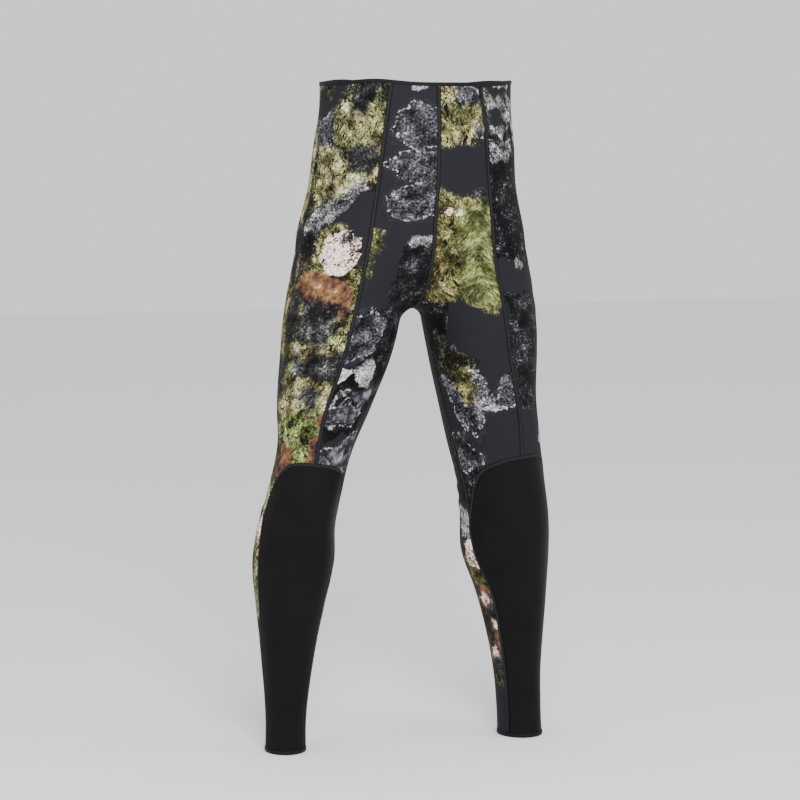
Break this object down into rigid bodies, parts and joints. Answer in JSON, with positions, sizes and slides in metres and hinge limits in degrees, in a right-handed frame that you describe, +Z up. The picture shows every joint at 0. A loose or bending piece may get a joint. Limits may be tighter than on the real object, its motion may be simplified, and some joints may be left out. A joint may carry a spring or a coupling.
{
  "type": "neoprene trousers",
  "caption": "High-waisted close-fitting neoprene trousers with a rock and moss print and smooth black knee and shin panels, bending at the hips and knees.",
  "frame": {"origin": "middle of the waist opening, level with its top edge", "axes": "+Z up out of the waist, -Y to the front, -X to the wearer's right leg"},
  "size_m": [0.491, 0.2631, 1.05],
  "materials": {
    "printed_neoprene": "matt printed knit over foam",
    "smooth_neoprene": "satin, finely textured",
    "black_thread": "flat stitched",
    "sealing_tape": "satin",
    "edge_binding": "matt knit"
  },
  "bodies": {
    "trunk": {"centre_back_stitching": "black_thread", "centre_front_stitching": "black_thread", "left_back_panel": "printed_neoprene", "left_front_panel": "printed_neoprene", "left_hip_back_seam_stitching": "black_thread", "left_hip_back_seam_tape": "sealing_tape", "left_hip_front_seam_stitching": "black_thread", "left_hip_front_seam_tape": "sealing_tape", "left_side_panel": "printed_neoprene", "right_back_panel": "printed_neoprene", "right_front_panel": "printed_neoprene", "right_hip_back_seam_stitching": "black_thread", "right_hip_back_seam_tape": "sealing_tape", "right_hip_front_seam_stitching": "black_thread", "right_hip_front_seam_tape": "sealing_tape", "right_side_panel": "printed_neoprene", "waist_binding": "edge_binding"},
    "right_thigh": {"right_inseam_stitching": "black_thread", "right_knee_back": "printed_neoprene", "right_knee_panel": "smooth_neoprene", "right_thigh_back": "printed_neoprene", "right_thigh_back_seam_stitching": "black_thread", "right_thigh_back_seam_tape": "sealing_tape", "right_thigh_front": "printed_neoprene", "right_thigh_front_seam_stitching": "black_thread", "right_thigh_front_seam_tape": "sealing_tape", "right_thigh_side": "printed_neoprene"},
    "left_thigh": {"left_inseam_stitching": "black_thread", "left_knee_back": "printed_neoprene", "left_knee_panel": "smooth_neoprene", "left_thigh_back": "printed_neoprene", "left_thigh_back_seam_stitching": "black_thread", "left_thigh_back_seam_tape": "sealing_tape", "left_thigh_front": "printed_neoprene", "left_thigh_front_seam_stitching": "black_thread", "left_thigh_front_seam_tape": "sealing_tape", "left_thigh_side": "printed_neoprene"},
    "right_shin": {"right_ankle_binding": "edge_binding", "right_calf_panel": "printed_neoprene", "right_shin_inner_seam_stitching": "black_thread", "right_shin_inner_seam_tape": "sealing_tape", "right_shin_outer_seam_stitching": "black_thread", "right_shin_outer_seam_tape": "sealing_tape", "right_shin_panel": "smooth_neoprene"},
    "left_shin": {"left_ankle_binding": "edge_binding", "left_calf_panel": "printed_neoprene", "left_shin_inner_seam_stitching": "black_thread", "left_shin_inner_seam_tape": "sealing_tape", "left_shin_outer_seam_stitching": "black_thread", "left_shin_outer_seam_tape": "sealing_tape", "left_shin_panel": "smooth_neoprene"}
  },
  "joints": [
    {"name": "right_hip", "type": "hinge", "parent": "trunk", "child": "right_thigh", "pos_m": [-0.116, 0.01, -0.34], "axis": [-1, 0, 0], "range_deg": [-15, 60], "stiffness_Nm_per_rad": 5, "deforming": ["right_back_panel", "right_front_panel", "right_hip_back_seam_stitching", "right_hip_back_seam_tape", "right_hip_front_seam_stitching", "right_hip_front_seam_tape", "right_side_panel", "right_inseam_stitching", "right_knee_back", "right_knee_panel", "right_thigh_back", "right_thigh_back_seam_stitching", "right_thigh_back_seam_tape", "right_thigh_front", "right_thigh_front_seam_stitching", "right_thigh_front_seam_tape", "right_thigh_side"]},
    {"name": "left_hip", "type": "hinge", "parent": "trunk", "child": "left_thigh", "pos_m": [0.119, 0.01, -0.34], "axis": [-1, 0, 0], "range_deg": [-15, 60], "stiffness_Nm_per_rad": 5, "deforming": ["left_back_panel", "left_front_panel", "left_hip_back_seam_stitching", "left_hip_back_seam_tape", "left_hip_front_seam_stitching", "left_hip_front_seam_tape", "left_side_panel", "left_inseam_stitching", "left_knee_back", "left_knee_panel", "left_thigh_back", "left_thigh_back_seam_stitching", "left_thigh_back_seam_tape", "left_thigh_front", "left_thigh_front_seam_stitching", "left_thigh_front_seam_tape", "left_thigh_side"]},
    {"name": "right_knee", "type": "hinge", "parent": "right_thigh", "child": "right_shin", "pos_m": [-0.174, 0.05, -0.667], "axis": [1, 0, 0], "range_deg": [0, 90], "stiffness_Nm_per_rad": 3, "deforming": ["right_calf_panel", "right_shin_inner_seam_stitching", "right_shin_inner_seam_tape", "right_shin_outer_seam_stitching", "right_shin_outer_seam_tape", "right_shin_panel"]},
    {"name": "left_knee", "type": "hinge", "parent": "left_thigh", "child": "left_shin", "pos_m": [0.167, 0.05, -0.667], "axis": [1, 0, 0], "range_deg": [0, 90], "stiffness_Nm_per_rad": 3, "deforming": ["left_calf_panel", "left_shin_inner_seam_stitching", "left_shin_inner_seam_tape", "left_shin_outer_seam_stitching", "left_shin_outer_seam_tape", "left_shin_panel"]}
  ]
}
